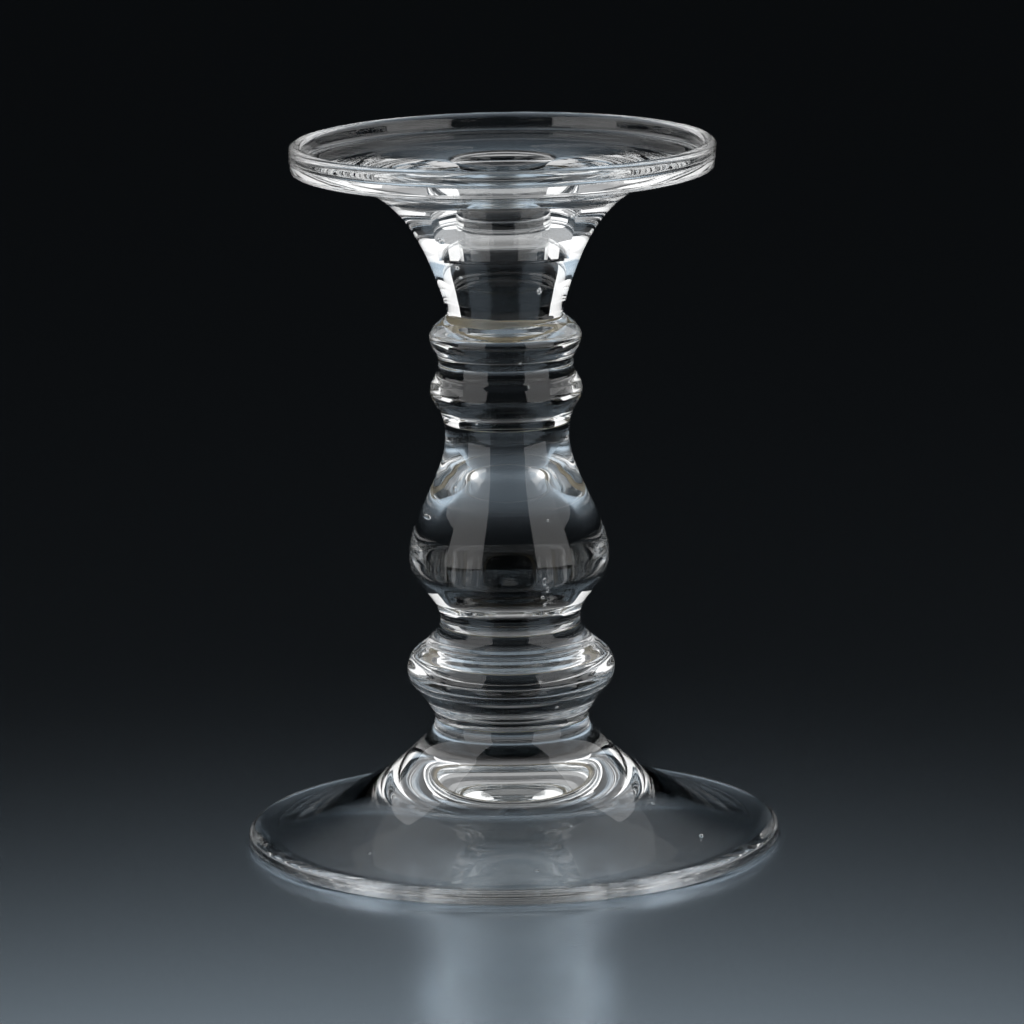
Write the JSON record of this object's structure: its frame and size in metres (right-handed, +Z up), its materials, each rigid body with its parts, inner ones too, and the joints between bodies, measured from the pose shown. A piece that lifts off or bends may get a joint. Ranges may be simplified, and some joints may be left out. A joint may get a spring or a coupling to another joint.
{
  "type": "glass candlestick",
  "caption": "Turned clear glass candlestick: domed foot, stepped collar, pear bulb, double-ringed collar and a dished plate with a taper socket.",
  "frame": {"origin": "on the vertical axis, in the plane that the foot's contact ring stands on", "axes": "+Z up along the axis of every turned piece; X and Y are level and interchangeable"},
  "size_m": [0.1154, 0.1154, 0.1524],
  "materials": {
    "clear_glass": "fire-polished clear soda-lime glass, faintly wavy, with a few small seeds",
    "bond_film": "thin clear adhesive film, slightly yellowed and uneven"
  },
  "bodies": {
    "root": {"foot": "clear_glass", "foot_bond": "bond_film", "lower_collar": "clear_glass", "bulb_bond": "bond_film", "baluster_bulb": "clear_glass", "neck_bond": "bond_film", "upper_collar": "clear_glass", "plate_bond": "bond_film", "candle_plate": "clear_glass"}
  },
  "joints": []
}
